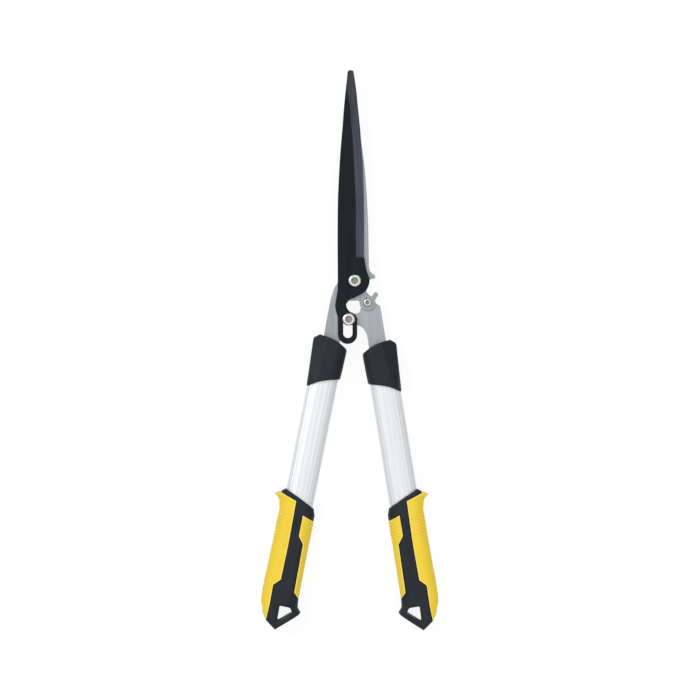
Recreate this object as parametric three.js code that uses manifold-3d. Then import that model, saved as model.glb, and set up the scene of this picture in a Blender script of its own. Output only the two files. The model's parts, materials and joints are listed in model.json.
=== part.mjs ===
// Hedge shears with lever-action handles, closed and lying on their back face.
// Millimetres. +Y runs towards the blade tips, +Z is the front face, and +X is the right-hand side.
// The left handle and the rear blade are one rigid lever. The right handle turns on the fulcrum bolt,
// and its drive bolt slides in the tail slot of the front blade, which turns on the main pivot.

import * as THREE from "three";
import { mergeVertices } from "three/addons/utils/BufferGeometryUtils.js";
import Module from "manifold-3d";

const wasm = await Module();
wasm.setup();

// ---- Driving dimensions ----

const GAP = 0.3; // between pieces that touch
const PLATE = 3; // thickness of the blades and tangs
const REACH = 28.2; // main pivot to fulcrum, and fulcrum to drive bolt
const FULCRUM_ANGLE = 30.3; // degrees to the right of straight down, seen from the main pivot
const DRIVE_ANGLE = -48; // degrees from straight down, seen from the fulcrum

const HANDLE_HEIGHT = 14; // middle of the handles above the surface they lie on
const LEFT_HANDLE = { x: -25.6, y: -62.6, lean: -11.3, gripStart: 176.5, side: -1 };
const RIGHT_HANDLE = { x: 26, y: -68.2, lean: 9.25, gripStart: 169.7, side: 1 };

const TUBE = { halfWidth: 16.5, halfDepth: 10, wall: 1.5, start: 14, insideGrip: 118 };
const TANG = {
  inner: -10.5, outer: 9, innerStart: 10, outerStart: 6, end: 58,
  pinAlong: [26, 46], pinAcross: -1, pinRadius: 2.5,
};
const INSERT = { start: 15, end: 62 };
const SLOT = { x: -7.7, top: -41.5, bottom: -58.9, halfWidth: 5.15 };
const HANG_HOLE_ROUNDING = 2;
const PAD_BED = { halfWidth: 18, halfDepth: 12.2, end: 121.5 }; // the grip's core under its soft pads
const COLLAR = { end: 62, mouthTop: 5, mouthRelief: 1.5 };
const CUT_MARGIN = 2; // how far cutting shapes reach beyond what they cut
const RING_POINTS = 28; // around a tube, collar or grip
const ROUNDNESS = 2.4; // exponent of the sections: 2 is an ellipse, more is squarer

// Layers, from the back: right tang, rear blade with the left tang, front blade.
const RIGHT_TANG_BACK = HANDLE_HEIGHT - GAP / 2 - PLATE;
const REAR_BLADE_BACK = HANDLE_HEIGHT + GAP / 2;
const FRONT_BLADE_BACK = REAR_BLADE_BACK + PLATE + GAP;
const FRONT_BLADE_FACE = FRONT_BLADE_BACK + PLATE;

const PIVOT_BOLT = { shank: 4, head: 7.2, headHeight: 3.4, washer: 8.4, nut: 6.5, nutHeight: 6 };
const DRIVE_BOLT = { shank: 3, head: 7.2, headHeight: 3.4, washer: 6.5, nut: 5, nutHeight: 4.5 };
const FULCRUM_BOLT = { shank: 3, head: 4.5, headHeight: 2.6, washer: 6.5, nut: 5, nutHeight: 4.5 };
const WASHER = 1.2; // thickness of every washer
const BOLT_END = 1; // how far a shank stands out of its nut
const HEAD = {
  wall: 0.4, shoulder: 0.9, shoulderHeight: 0.8, crown: 0.7, socket: 0.42, // shares of a head's size
  socketDepth: 1.6,
};
const BUSH_RADIUS = 4; // of the drive bolt's bush in the tail slot

const MAIN_PIVOT = new THREE.Vector2(0, 0);
const FULCRUM = below(MAIN_PIVOT, REACH, FULCRUM_ANGLE);
const DRIVE = below(FULCRUM, REACH, DRIVE_ANGLE);

// ---- Materials ----

const COATED_STEEL = material(0x24272a, 0.45, 0.7);
const BRIGHT_STEEL = material(0xa8b0b6, 0.4, 0.9);
const NICKEL = material(0xd8d5cc, 0.25, 1);
const ALUMINIUM = material(0xdfe3e6, 0.35, 0.9);
const BLACK_PLASTIC = material(0x2b3034, 0.6, 0);
const YELLOW_RUBBER = material(0xf2cf3a, 0.65, 0);

function material(color, roughness, metalness) {
  return new THREE.MeshStandardMaterial({ color, roughness, metalness });
}

// ---- Points and outlines ----

function below(centre, distance, degrees) {
  const angle = THREE.MathUtils.degToRad(degrees);
  return new THREE.Vector2(
    centre.x + distance * Math.sin(angle),
    centre.y - distance * Math.cos(angle),
  );
}

function arc(x, y, radius, fromDegrees, toDegrees, steps = 12) {
  return Array.from({ length: steps + 1 }, (_, i) => {
    const angle = THREE.MathUtils.degToRad(fromDegrees + ((toDegrees - fromDegrees) * i) / steps);
    return [x + radius * Math.cos(angle), y + radius * Math.sin(angle)];
  });
}

function circle(x, y, radius, steps = 24) {
  return arc(x, y, radius, 0, 360, steps).slice(0, -1);
}

function curve(points, steps) {
  const spline = new THREE.SplineCurve(points.map(([x, y]) => new THREE.Vector2(x, y)));
  return spline.getPoints(steps).map((point) => [point.x, point.y]);
}

// An outline with each corner cut back and rounded.
function rounded(corners, radius) {
  return corners.flatMap((corner, i) => {
    const at = new THREE.Vector2(...corner);
    const before = new THREE.Vector2(...corners.at(i - 1));
    const after = new THREE.Vector2(...corners[(i + 1) % corners.length]);
    const start = at.clone().add(before.sub(at).setLength(radius));
    const end = at.clone().add(after.sub(at).setLength(radius));
    const bend = new THREE.QuadraticBezierCurve(start, at, end);
    return bend.getPoints(3).map((point) => [point.x, point.y]);
  });
}

// An anticlockwise outline with every edge moved outwards by the same distance.
function grown(corners, distance) {
  const edges = corners.map((corner, i) => {
    const start = new THREE.Vector2(...corner);
    const along = new THREE.Vector2(...corners[(i + 1) % corners.length]).sub(start).normalize();
    start.add(new THREE.Vector2(along.y, -along.x).multiplyScalar(distance));
    return { start, along };
  });
  return edges.map((edge, i) => {
    const before = edges.at(i - 1);
    const step = edge.start.clone().sub(before.start).cross(edge.along) / before.along.cross(edge.along);
    const corner = before.start.clone().addScaledVector(before.along, step);
    return [corner.x, corner.y];
  });
}

// ---- Solids ----

function solid(geometry) {
  const bare = geometry.index ? geometry.toNonIndexed() : geometry.clone();
  bare.deleteAttribute("normal");
  bare.deleteAttribute("uv");
  const merged = mergeVertices(bare, 1e-4);
  return new wasm.Manifold(
    new wasm.Mesh({
      numProp: 3,
      vertProperties: merged.attributes.position.array,
      triVerts: new Uint32Array(merged.index.array),
    }),
  );
}

function plate(outline, back, thickness, holes = []) {
  const shape = new THREE.Shape(outline.map(([x, y]) => new THREE.Vector2(x, y)));
  shape.holes = holes.map((hole) => new THREE.Path(hole.map(([x, y]) => new THREE.Vector2(x, y))));
  const geometry = new THREE.ExtrudeGeometry(shape, { depth: thickness, bevelEnabled: false });
  return solid(geometry.translate(0, 0, back));
}

function box(xs, ys, zs) {
  const geometry = new THREE.BoxGeometry(xs[1] - xs[0], ys[1] - ys[0], zs[1] - zs[0]);
  return solid(geometry.translate((xs[0] + xs[1]) / 2, (ys[0] + ys[1]) / 2, (zs[0] + zs[1]) / 2));
}

// A solid along a handle, through rounded sections. A section says how far along it is, where its
// inner and outer edges are, and half its depth. Flats cut the depth off at the given height.
function loft(sections, flat = Infinity) {
  const positions = sections.flatMap(({ along, inner, outer, halfDepth }) =>
    Array.from({ length: RING_POINTS }, (_, i) => {
      const angle = (2 * Math.PI * i) / RING_POINTS;
      const across = Math.sign(Math.cos(angle)) * Math.abs(Math.cos(angle)) ** (2 / ROUNDNESS);
      const up = Math.sign(Math.sin(angle)) * Math.abs(Math.sin(angle)) ** (2 / ROUNDNESS);
      return [
        (inner + outer) / 2 + ((outer - inner) / 2) * across,
        -along,
        THREE.MathUtils.clamp(halfDepth * up, -flat, flat),
      ];
    }).flat(),
  );
  const index = [];
  const last = (sections.length - 1) * RING_POINTS;
  for (let i = 0; i < RING_POINTS; i += 1) {
    const next = (i + 1) % RING_POINTS;
    for (let ring = 0; ring < last; ring += RING_POINTS) {
      index.push(ring + i, ring + next, ring + RING_POINTS + i);
      index.push(ring + next, ring + RING_POINTS + next, ring + RING_POINTS + i);
    }
    if (i > 0 && next > 0) {
      index.push(0, next, i);
      index.push(last, last + i, last + next);
    }
  }
  const geometry = new THREE.BufferGeometry();
  geometry.setAttribute("position", new THREE.Float32BufferAttribute(positions, 3));
  geometry.setIndex(index);
  return solid(geometry);
}

function oval(halfWidth, halfDepth, start, end) {
  return loft([
    { along: start, inner: -halfWidth, outer: halfWidth, halfDepth },
    { along: end, inner: -halfWidth, outer: halfWidth, halfDepth },
  ]);
}

function mesh(name, manifold, finish) {
  const { vertProperties, triVerts } = manifold.getMesh();
  const geometry = new THREE.BufferGeometry();
  geometry.setAttribute("position", new THREE.BufferAttribute(vertProperties, 3));
  geometry.setIndex(new THREE.BufferAttribute(triVerts, 1));
  geometry.computeVertexNormals();
  const made = new THREE.Mesh(geometry, finish);
  made.name = name;
  return made;
}

// ---- Blades and tangs ----

function frontBlade() {
  const tail = arc(-8, -60, 10.8, 180, 360);
  const hook = curve(
    [[2.8, -46], [2.2, -41.4], [-1.1, -36.7], [-6.2, -33.9], [-9.3, -28.6], [-8.7, -24.6],
      [-5.6, -21], [1.7, -17.9], [10.1, -13.4]],
    28,
  );
  const boss = arc(0, 0, 16.6, -45, 8, 6);
  const shoulder = curve([[14.9, 6.9], [12.9, 12.3], [11.2, 21.3], [10.4, 27]], 5);
  const edge = curve(
    [[10.4, 68], [9.9, 102], [9, 130], [7.6, 147], [6.2, 169], [3.4, 197], [1.7, 214], [-1.1, 233]],
    14,
  );
  const tip = curve([[-1.5, 234.6], [-2.6, 235.5], [-4.6, 235.7], [-6.6, 235.4], [-7.7, 234.4]], 6);
  const spine = curve(
    [[-8.1, 233], [-11.8, 197], [-14, 169], [-16.2, 143], [-18.1, 110], [-19, 86], [-19.3, 46], [-19, 0]],
    14,
  );
  const waist = curve(
    [[-19, -10], [-21.3, -23.5], [-21.8, -28], [-20.7, -34.7], [-18.8, -40.3]],
    10,
  );
  const outline = [...tail, ...hook, ...boss, ...shoulder, ...edge, ...tip, ...spine, ...waist];
  const slot = [
    ...arc(SLOT.x, SLOT.bottom, SLOT.halfWidth, 180, 360),
    ...arc(SLOT.x, SLOT.top, SLOT.halfWidth, 0, 180),
  ];
  const holes = [circle(MAIN_PIVOT.x, MAIN_PIVOT.y, PIVOT_BOLT.shank + GAP), slot];
  return plate(outline, FRONT_BLADE_BACK, PLATE, holes);
}

function rearBlade() {
  const spine = curve(
    [[-3.6, 228], [0, 216], [5.7, 170], [8.1, 150], [11.8, 119], [14.6, 74], [15.5, 40], [15.9, 16]],
    14,
  );
  const upperLug = [
    ...curve([[16.8, 11.4], [19, 8.6], [21.2, 7.2]], 4),
    ...arc(20.4, 4.7, 2.6, 60, -115, 6),
    [16.8, 1.2],
  ];
  const neck = [[15.4, -4], [12.8, -12.2], [17.5, -16.9]];
  const lowerLug = [[19.2, -17.1], ...arc(23.4, -15.6, 2.8, 160, -30, 6)];
  const ear = arc(FULCRUM.x, FULCRUM.y, 8.9, 18, -182, 14);
  const web = [[4.5, -22.3], [-6.2, -22.3], [-9.4, -25.6]];
  const tangInner = curve([[-11.8, -31.4], [-14.6, -45.9], [-16.6, -68.3]], 6);
  const tangOuter = curve(
    [[-32.5, -48.2], [-29.7, -33.6], [-26.9, -20.2], [-23, -7.8], [-18.7, -1.1], [-14.5, 12]],
    10,
  );
  const edge = [[-10, 30], [-8.5, 225], [-6.4, 232.4]];
  const outline = [
    ...spine, ...upperLug, ...neck, ...lowerLug, ...ear, ...web,
    ...tangInner, ...tangStrip(LEFT_HANDLE), ...tangOuter, ...edge,
  ];
  const holes = [
    circle(MAIN_PIVOT.x, MAIN_PIVOT.y, PIVOT_BOLT.shank + GAP),
    circle(FULCRUM.x, FULCRUM.y, FULCRUM_BOLT.shank + GAP),
    ...tangPinHoles(LEFT_HANDLE),
  ];
  return plate(outline, REAR_BLADE_BACK, PLATE, holes);
}

function rightTang() {
  const shoulder = [[24.8, -25.9], [28.4, -27.9]];
  const outerEdge = curve([[29.7, -34.7], [31.9, -48.2], [34.5, -64]], 4);
  const innerEdge = curve(
    [[15.9, -76], [15.1, -68.3], [13.4, -60.5], [10.6, -54.9], [7.3, -51.5], [2.8, -49.8], [-2, -49.4]],
    12,
  );
  const driveLobe = arc(DRIVE.x, DRIVE.y, 7, -70, -290, 12);
  const opening = curve([[1.2, -36.7], [4.8, -34.9], [6.5, -30.2], [6.1, -25.5]], 6);
  const ear = arc(FULCRUM.x, FULCRUM.y, 8.6, 176, 4, 12);
  const outline = [
    ...shoulder, ...outerEdge, ...tangStrip(RIGHT_HANDLE), ...innerEdge,
    ...driveLobe, ...opening, ...ear,
  ];
  const holes = [
    circle(FULCRUM.x, FULCRUM.y, FULCRUM_BOLT.shank + GAP),
    circle(DRIVE.x, DRIVE.y, DRIVE_BOLT.shank + GAP),
    ...tangPinHoles(RIGHT_HANDLE),
  ];
  return plate(outline, RIGHT_TANG_BACK, PLATE, holes);
}

// A point of a handle's own frame, given across and along it, in the frame of the main pivot.
function handlePoint(handle, across, along) {
  const lean = THREE.MathUtils.degToRad(handle.lean);
  return [
    handle.x + handle.side * across * Math.cos(lean) + along * Math.sin(lean),
    handle.y + handle.side * across * Math.sin(lean) - along * Math.cos(lean),
  ];
}

// The straight end of a tang, inside its handle, clockwise as seen from the front.
function tangStrip(handle) {
  const strip = [
    handlePoint(handle, TANG.outer, TANG.outerStart),
    handlePoint(handle, TANG.outer, TANG.end),
    handlePoint(handle, TANG.inner, TANG.end),
    handlePoint(handle, TANG.inner, TANG.innerStart),
  ];
  return handle.side > 0 ? strip : strip.reverse();
}

function tangPinHoles(handle) {
  return TANG.pinAlong.map((along) =>
    circle(...handlePoint(handle, TANG.pinAcross, along), TANG.pinRadius + GAP, 16),
  );
}

// ---- Fasteners ----

function disc(centre, radius, back, height, sides = 24) {
  return plate(circle(centre.x, centre.y, radius, sides), back, height);
}

function ring(centre, radius, hole, back, height, sides = 24) {
  const outline = circle(centre.x, centre.y, radius, sides);
  return plate(outline, back, height, [circle(centre.x, centre.y, hole, 24)]);
}

// A bolt with a low domed head in front and its shank running back to the given height.
function bolt(centre, size, headBack, shankBack) {
  const { shank, head, headHeight } = size;
  const crown = headBack + headHeight;
  const profile = [
    [0, shankBack], [shank, shankBack], [shank, headBack], [head, headBack],
    [head, headBack + headHeight * HEAD.wall],
    [head * HEAD.shoulder, headBack + headHeight * HEAD.shoulderHeight],
    [head * HEAD.crown, crown], [0, crown],
  ].map(([x, y]) => new THREE.Vector2(x, y));
  const turned = new THREE.LatheGeometry(profile, 24).rotateX(Math.PI / 2).translate(centre.x, centre.y, 0);
  const socket = disc(centre, head * HEAD.socket, crown - HEAD.socketDepth, HEAD.socketDepth + CUT_MARGIN, 6);
  return solid(turned).subtract(socket);
}

// The bolt, its washer and its nut, which clamp everything between two heights.
function fastening(name, centre, size, front, back) {
  const washerBack = back - GAP - WASHER;
  const nutBack = washerBack - GAP - size.nutHeight;
  const clearHole = size.shank + GAP;
  const nutCorner = size.nut / Math.cos(Math.PI / 6);
  return [
    mesh(`${name}_bolt`, bolt(centre, size, front + GAP, nutBack - BOLT_END), NICKEL),
    mesh(`${name}_washer`, ring(centre, size.washer, clearHole, washerBack, WASHER), NICKEL),
    mesh(`${name}_nut`, ring(centre, nutCorner, clearHole, nutBack, size.nutHeight, 6), NICKEL),
  ];
}

function driveBush() {
  const back = RIGHT_TANG_BACK + PLATE + GAP;
  return ring(DRIVE, BUSH_RADIUS, DRIVE_BOLT.shank + GAP, back, FRONT_BLADE_FACE - back);
}

// ---- Handles: x is across and outwards, -y is along and away from the blades, z = 0 is mid-depth ----

function tube(handle) {
  const { halfWidth, halfDepth, wall, start } = TUBE;
  const end = handle.gripStart + TUBE.insideGrip;
  const bore = oval(halfWidth - wall, halfDepth - wall, start - 1, end + 1);
  return oval(halfWidth, halfDepth, start, end).subtract(bore).subtract(pins(GAP, HANDLE_HEIGHT));
}

function pins(clearance, halfLength) {
  return TANG.pinAlong
    .map((along) => pin(along, clearance, halfLength))
    .reduce((first, second) => first.add(second));
}

function pin(along, clearance, halfLength) {
  const centre = new THREE.Vector2(TANG.pinAcross, -along);
  return disc(centre, TANG.pinRadius + clearance, -halfLength, 2 * halfLength, 16);
}

function tangInsert(tangBack) {
  const inset = TUBE.wall + GAP;
  const plug = oval(TUBE.halfWidth - inset, TUBE.halfDepth - inset, INSERT.start, INSERT.end);
  const slot = tangSlot(tangBack, [-TANG.end - GAP, -INSERT.start + 1]);
  return plug.subtract(slot).subtract(pins(GAP, HANDLE_HEIGHT));
}

function tangSlot(tangBack, ys) {
  const back = tangBack - HANDLE_HEIGHT;
  return box([TANG.inner - GAP, TANG.outer + GAP], ys, [back - GAP, back + PLATE + GAP]);
}

function collar(tangBack) {
  const sleeve = loft(
    [
      { along: -1, inner: -19.9, outer: 20.6, halfDepth: 14.6 },
      { along: 8, inner: -19.7, outer: 20, halfDepth: 14.6 },
      { along: 32, inner: -19.1, outer: 18.7, halfDepth: 14.4 },
      { along: COLLAR.end, inner: -17.9, outer: 17.1, halfDepth: 12.6 },
    ],
    HANDLE_HEIGHT,
  );
  const topEdge = curve([[-25, -15.6], [-19.6, -11.2], [-9, -5], [0.2, -2], [13.7, 0]], 10);
  const bottomEdge = curve([[16, -59], [5, -52.5], [-6, -48.5], [-17, -45.8], [-25, -44.6]], 10);
  const cut = [...topEdge, [20.1, -5], [25, -9], [25, -64], [17.4, -60], ...bottomEdge];
  const trimmed = sleeve.intersect(through(cut));
  const boreEnd = COLLAR.end + CUT_MARGIN;
  const bore = oval(TUBE.halfWidth + GAP, TUBE.halfDepth + GAP, TUBE.start - GAP, boreEnd);
  const mouth = tangSlot(tangBack, [-TUBE.start - CUT_MARGIN, COLLAR.mouthTop]);
  const widerMouth = mouth.translate(-COLLAR.mouthRelief, 0, 0);
  return trimmed.subtract(bore).subtract(mouth).subtract(widerMouth);
}

const GRIP_SECTIONS = [
  { along: -1, inner: -20.4, outer: 18.9, halfDepth: 14.4 },
  { along: 3, inner: -20.4, outer: 22.6, halfDepth: 14.6 },
  { along: 7.2, inner: -20.4, outer: 30.1, halfDepth: 14.6 },
  { along: 10.5, inner: -20.4, outer: 24.6, halfDepth: 14.6 },
  { along: 14.6, inner: -20.4, outer: 22, halfDepth: 14.6 },
  { along: 23.5, inner: -20.4, outer: 20, halfDepth: 14.6 },
  { along: 82, inner: -20.6, outer: 20.2, halfDepth: 14.6 },
  { along: 105, inner: -20.8, outer: 20.8, halfDepth: 14.6 },
  { along: 119, inner: -20.9, outer: 20.6, halfDepth: 14.6 },
  { along: 128.5, inner: -21.7, outer: 20.2, halfDepth: 14.6 },
  { along: 134.4, inner: -26.9, outer: 19.2, halfDepth: 14.6 },
  { along: 139, inner: -27.3, outer: 18.4, halfDepth: 14.6 },
  { along: 147, inner: -27.3, outer: 16, halfDepth: 14.4 },
  { along: 158, inner: -27.3, outer: 12, halfDepth: 14.2 },
];

// Both ends of the grip are cut at a slant. Anticlockwise, like the two pads' outlines.
const GRIP_CUT = [
  [-30, -23.4], [-30, -131.6], [-1.6, -156.9], [10.2, -148.9], [15.4, -141.6], [30, -110],
  [32, -8.9], [22.2, -3], [18.1, 0], [2.9, -6.2], [-13.3, -14.1], [-17.1, -16.6], [-19.6, -19.6],
  [-21.3, -23.4],
];
const OUTER_PAD = [
  [10.3, -148.5], [12, -160], [40, -160], [40, 4], [22.9, -4.7], [3, -11.4], [2.1, -62],
  [2.7, -100.7], [10, -107.9], [9.6, -130],
];
const INNER_PAD = [
  [-40, -26], [-20.2, -30.7], [-7.5, -25.8], [-7.5, -49], [-13.9, -57.7], [-14.8, -112.2],
  [-20.8, -118.7], [-40, -124],
].reverse();
const HANG_HOLE = [[-13.4, -129.7], [-17.1, -134.9], [-2.1, -147.9], [-1.5, -129.7]];

function gripShape() {
  const whole = loft(GRIP_SECTIONS, HANDLE_HEIGHT);
  return whole.intersect(through(GRIP_CUT));
}

function through(outline) {
  const reach = HANDLE_HEIGHT + CUT_MARGIN;
  return plate(outline, -reach, 2 * reach);
}

function padBed(clearance) {
  const end = PAD_BED.end + clearance;
  return oval(PAD_BED.halfWidth + clearance, PAD_BED.halfDepth + clearance, -CUT_MARGIN, end);
}

function gripPad(outline) {
  return gripShape().intersect(through(outline)).subtract(padBed(GAP));
}

function gripCore() {
  const shape = gripShape();
  const recesses = through(grown(OUTER_PAD, GAP)).add(through(grown(INNER_PAD, GAP))).subtract(padBed(0));
  const bore = oval(TUBE.halfWidth + GAP, TUBE.halfDepth + GAP, -CUT_MARGIN, TUBE.insideGrip + GAP);
  const hangHole = through(rounded(HANG_HOLE, HANG_HOLE_ROUNDING));
  return shape.subtract(recesses).subtract(bore).subtract(hangHole);
}

function handleGroup(side, handle, tangBack) {
  const pinHalfLength = TUBE.halfDepth - GAP;
  const group = new THREE.Group();
  group.position.set(handle.x, handle.y, HANDLE_HEIGHT);
  group.rotation.z = THREE.MathUtils.degToRad(handle.lean);
  group.scale.x = handle.side;
  const grip = new THREE.Group();
  grip.position.y = -handle.gripStart;
  grip.add(
    mesh(`${side}_grip_core`, gripCore(), BLACK_PLASTIC),
    mesh(`${side}_grip_outer_pad`, gripPad(OUTER_PAD), YELLOW_RUBBER),
    mesh(`${side}_grip_inner_pad`, gripPad(INNER_PAD), YELLOW_RUBBER),
  );
  group.add(
    mesh(`${side}_collar`, collar(tangBack), BLACK_PLASTIC),
    mesh(`${side}_tube`, tube(handle), ALUMINIUM),
    mesh(`${side}_tang_insert`, tangInsert(tangBack), BLACK_PLASTIC),
    mesh(`${side}_tang_pin_upper`, pin(TANG.pinAlong[0], 0, pinHalfLength), BRIGHT_STEEL),
    mesh(`${side}_tang_pin_lower`, pin(TANG.pinAlong[1], 0, pinHalfLength), BRIGHT_STEEL),
    grip,
  );
  return group;
}

// ---- The whole tool, with its origin under the middle of its box ----

function hedgeShears() {
  const tool = new THREE.Group();
  tool.add(
    mesh("front_blade", frontBlade(), COATED_STEEL),
    mesh("rear_blade", rearBlade(), BRIGHT_STEEL),
    mesh("right_tang", rightTang(), BRIGHT_STEEL),
    mesh("drive_bush", driveBush(), NICKEL),
    ...fastening("pivot", MAIN_PIVOT, PIVOT_BOLT, FRONT_BLADE_FACE, REAR_BLADE_BACK),
    ...fastening("fulcrum", FULCRUM, FULCRUM_BOLT, REAR_BLADE_BACK + PLATE, RIGHT_TANG_BACK),
    ...fastening("drive", DRIVE, DRIVE_BOLT, FRONT_BLADE_FACE, RIGHT_TANG_BACK),
    handleGroup("left", LEFT_HANDLE, REAR_BLADE_BACK),
    handleGroup("right", RIGHT_HANDLE, RIGHT_TANG_BACK),
  );
  const bounds = new THREE.Box3().setFromObject(tool, true);
  const middle = bounds.getCenter(new THREE.Vector3());
  tool.position.set(-middle.x, -middle.y, -bounds.min.z);
  return new THREE.Group().add(tool);
}

export default hedgeShears();
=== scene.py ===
"""Hedge shears: the finished surfaces and materials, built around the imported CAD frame.

Shapes are drawn in millimetres, in one of two frames. The tool's frame has its origin on the main
pivot, on the floor, with +Y towards the blade tips. A handle's frame has its origin at the top of
the collar, half-way through the handle's depth: +X points outwards, away from the other handle,
and -Y points down the handle.
"""

import json
import math

import bmesh
import bpy
import numpy as np
from mathutils import Matrix, Vector


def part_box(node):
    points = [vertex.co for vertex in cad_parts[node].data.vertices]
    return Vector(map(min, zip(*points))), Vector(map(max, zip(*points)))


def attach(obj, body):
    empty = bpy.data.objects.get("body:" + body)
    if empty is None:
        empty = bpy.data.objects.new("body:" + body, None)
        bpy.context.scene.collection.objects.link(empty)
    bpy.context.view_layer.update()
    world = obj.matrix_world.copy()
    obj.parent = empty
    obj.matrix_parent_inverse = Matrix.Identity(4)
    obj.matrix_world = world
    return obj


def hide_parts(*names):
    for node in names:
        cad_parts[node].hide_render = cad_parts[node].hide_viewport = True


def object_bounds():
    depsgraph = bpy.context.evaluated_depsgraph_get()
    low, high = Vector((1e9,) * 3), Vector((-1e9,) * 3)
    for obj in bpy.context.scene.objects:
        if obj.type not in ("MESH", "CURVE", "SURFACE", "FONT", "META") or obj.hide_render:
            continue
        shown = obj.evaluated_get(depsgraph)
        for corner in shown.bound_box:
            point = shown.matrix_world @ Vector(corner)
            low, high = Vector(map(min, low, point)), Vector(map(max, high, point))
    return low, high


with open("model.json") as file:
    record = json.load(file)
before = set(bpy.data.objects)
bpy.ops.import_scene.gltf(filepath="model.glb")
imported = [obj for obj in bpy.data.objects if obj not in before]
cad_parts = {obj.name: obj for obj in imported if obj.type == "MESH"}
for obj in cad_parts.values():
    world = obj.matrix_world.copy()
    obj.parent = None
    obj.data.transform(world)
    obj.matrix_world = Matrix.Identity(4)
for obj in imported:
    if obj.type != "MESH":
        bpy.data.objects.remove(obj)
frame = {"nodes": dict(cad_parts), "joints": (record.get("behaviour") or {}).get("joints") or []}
cad_low, cad_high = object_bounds()

MM = 0.001

# ---- Sizes, in millimetres ----

PLATE = 3.0  # thickness of the blades and tangs
PLATE_EDGE = 0.3  # rounding of their edges
HANDLE_HEIGHT = 14.0  # middle of the handles above the floor
CLEARANCE = 0.3
PIVOT_SHANK, SMALL_SHANK = 4.0, 3.0  # radii of the bolts
PIVOT_HOLE, SMALL_HOLE = PIVOT_SHANK + CLEARANCE, SMALL_SHANK + CLEARANCE

# The front blade: its cutting edge, and the line where its ground bevel begins.
BLADE_EDGE = (
    (10.4, 68), (9.9, 102), (9, 130), (7.6, 147), (6.2, 169), (3.4, 197), (1.7, 214), (-1.1, 233),
)
BEVEL_START, BEVEL_END = 26.0, 240.0
BEVEL_LINE = (
    (1.5, BEVEL_START), (1.2, 90), (-0.7, 130), (-2.5, 161), (-4.1, 180), (-5.6, 197), (-9, 216),
    (-13.5, BEVEL_END),
)
BEVEL_LEAN = math.radians(3)  # of its grinding lines
BEVEL_TIP, BEVEL_FADE = 236.0, 120.0  # it darkens over this length, up to its tip

TANG_INNER, TANG_OUTER, TANG_END = -10.5, 9.0, 58.0
TANG_INNER_START, TANG_OUTER_START = 10.0, 6.0
PIN_ALONG, PIN_ACROSS, PIN_RADIUS = (26.0, 46.0), -1.0, 2.5

TUBE_HALF_WIDTH, TUBE_HALF_DEPTH, TUBE_WALL = 16.5, 10.0, 1.5
TUBE_START, TUBE_INSIDE_GRIP = 14.0, 118.0
ROUNDNESS = 2.4  # exponent of the handles' sections: 2 is an ellipse

# Sections: along the handle, inner edge, outer edge, half-depth.
GRIP_SECTIONS = (
    (-1, -20.4, 18.9, 14.4), (3, -20.4, 22.8, 14.6), (7.2, -20.4, 30.6, 14.6),
    (10.5, -20.4, 24.6, 14.6), (14.6, -20.4, 22, 14.6), (23.5, -20.4, 20, 14.6),
    (82, -20.6, 20.2, 14.6), (105, -20.8, 20.8, 14.6), (119, -20.9, 20.6, 14.6),
    (128.5, -21.7, 20.2, 14.6), (134.4, -26.9, 19.2, 14.6), (139, -27.3, 18.4, 14.6),
    (147, -27.3, 16, 14.4), (158, -27.3, 12, 14.2),
)
GRIP_CUT = (
    (-30, -23.4), (-30, -131.6), (-1.6, -156.9), (10.2, -148.9), (15.4, -141.6), (30, -110), (32, -8.9),
    (22.2, -3), (18.1, 0), (2.9, -6.2), (-13.3, -14.1), (-17.1, -16.6), (-19.6, -19.6), (-21.3, -23.4),
)
OUTER_PAD = (
    (10.3, -148.5), (12, -160), (40, -160), (40, 4), (22.9, -4.7), (3, -11.4), (2.1, -62),
    (2.7, -100.7), (10, -107.9), (9.6, -130),
)
INNER_PAD = (
    (-40, -124), (-20.8, -118.7), (-14.8, -112.2), (-13.9, -57.7), (-7.5, -49), (-7.5, -25.8),
    (-20.2, -30.7), (-40, -26),
)
HANG_HOLE = ((-13.4, -129.7), (-17.1, -134.9), (-2.1, -147.9), (-1.5, -129.7))
HANG_HOLE_ROUNDING = 2.0

PAD_RISE = 0.35  # of the soft pads' edges above the grip's core
SKIN_FLAT = HANDLE_HEIGHT - PAD_RISE  # half-depth where the grips and collars are flat
FLOOR_GAP = 0.02  # below the pads' ribs
PAD_BED_HALF_WIDTH, PAD_BED_HALF_DEPTH, PAD_BED_END = 18.0, 12.2, 121.5
SEAM, SEAM_DEPTH, SEAM_FLOOR_HALF_WIDTH = 1.3, 1.3, 20.8  # the groove in the grip's core along its pads
TIGHT = 0.02  # between the core and its pads, under the groove
HIGHLIGHT_RIM = 1.1  # width of the pads' paler rims, a painted highlight along their edges

COLLAR_SECTIONS = (
    (-1, -19.9, 20.6, 14.6), (8, -19.7, 20, 14.6), (32, -19.1, 18.7, 14.4), (62, -17.9, 17.1, 12.6),
)
COLLAR_TOP = ((-25, -15.6), (-19.6, -11.2), (-9, -5), (0.2, -2), (13.7, 0))
COLLAR_BOTTOM = ((16, -59), (5, -52.5), (-6, -48.5), (-17, -45.8), (-25, -44.6))
COLLAR_FACET = ((5, -13, 13.6), (20.3, -16, 4), (16.6, -58, 8.4))  # three points of the plane that trims it
MOUTH_SLACK = 1.8  # between a collar's mouth and the inner side of its tang

BIG_HEAD = {"radius": 7.2, "height": 3.4, "recess_radius": 4.2, "recess_depth": 2.3}
SMALL_HEAD = {"radius": 4.5, "height": 2.6, "recess_radius": 2.6, "recess_depth": 1.6}

# Forms that cut.
THROUGH = HANDLE_HEIGHT + 2.0  # half-height of the forms that reach right through a handle
OVERSHOOT = 3.0  # of the others, beyond the piece that they cut
WELD, FINE_WELD = 0.002, 0.0001  # points nearer than this are joined

LOCAL = Matrix.Identity(4)  # for shapes that are drawn in a handle's frame and placed later


# ---- Places, from the frame ----


def middle(node):
    low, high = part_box(node)
    return (low + high) / 2


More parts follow.
